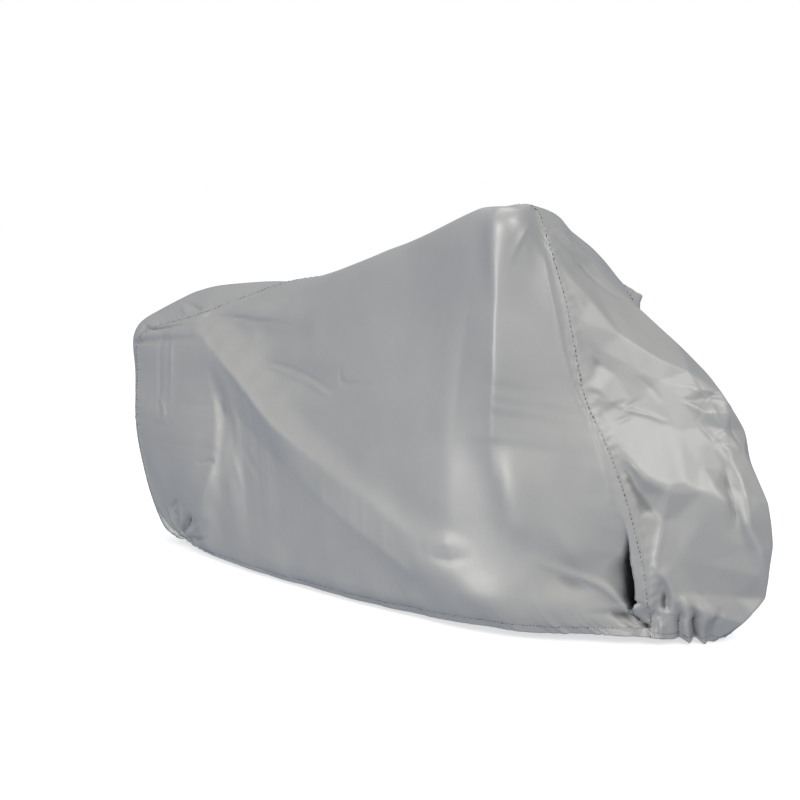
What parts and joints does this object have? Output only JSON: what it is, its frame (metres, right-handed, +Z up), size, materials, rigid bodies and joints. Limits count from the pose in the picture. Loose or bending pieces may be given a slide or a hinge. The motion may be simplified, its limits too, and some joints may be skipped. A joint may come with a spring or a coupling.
{
  "type": "motorcycle cover",
  "caption": "Fitted cloth cover in silver grey, tall at the front and low at the tail, with side panels sewn to a long centre panel and a gathered hem, open below.",
  "frame": {"origin": "under the middle of the cover's box, level with its lowest hem", "axes": "+X towards the high front, +Y towards the cover's left side, +Z up"},
  "size_m": [2.2222, 0.739, 1.0851],
  "materials": {
    "silver_cloth": "satin coated woven polyester"
  },
  "bodies": {
    "root": {"side_panel_right": "silver_cloth", "side_panel_left": "silver_cloth", "centre_panel": "silver_cloth"}
  },
  "joints": []
}
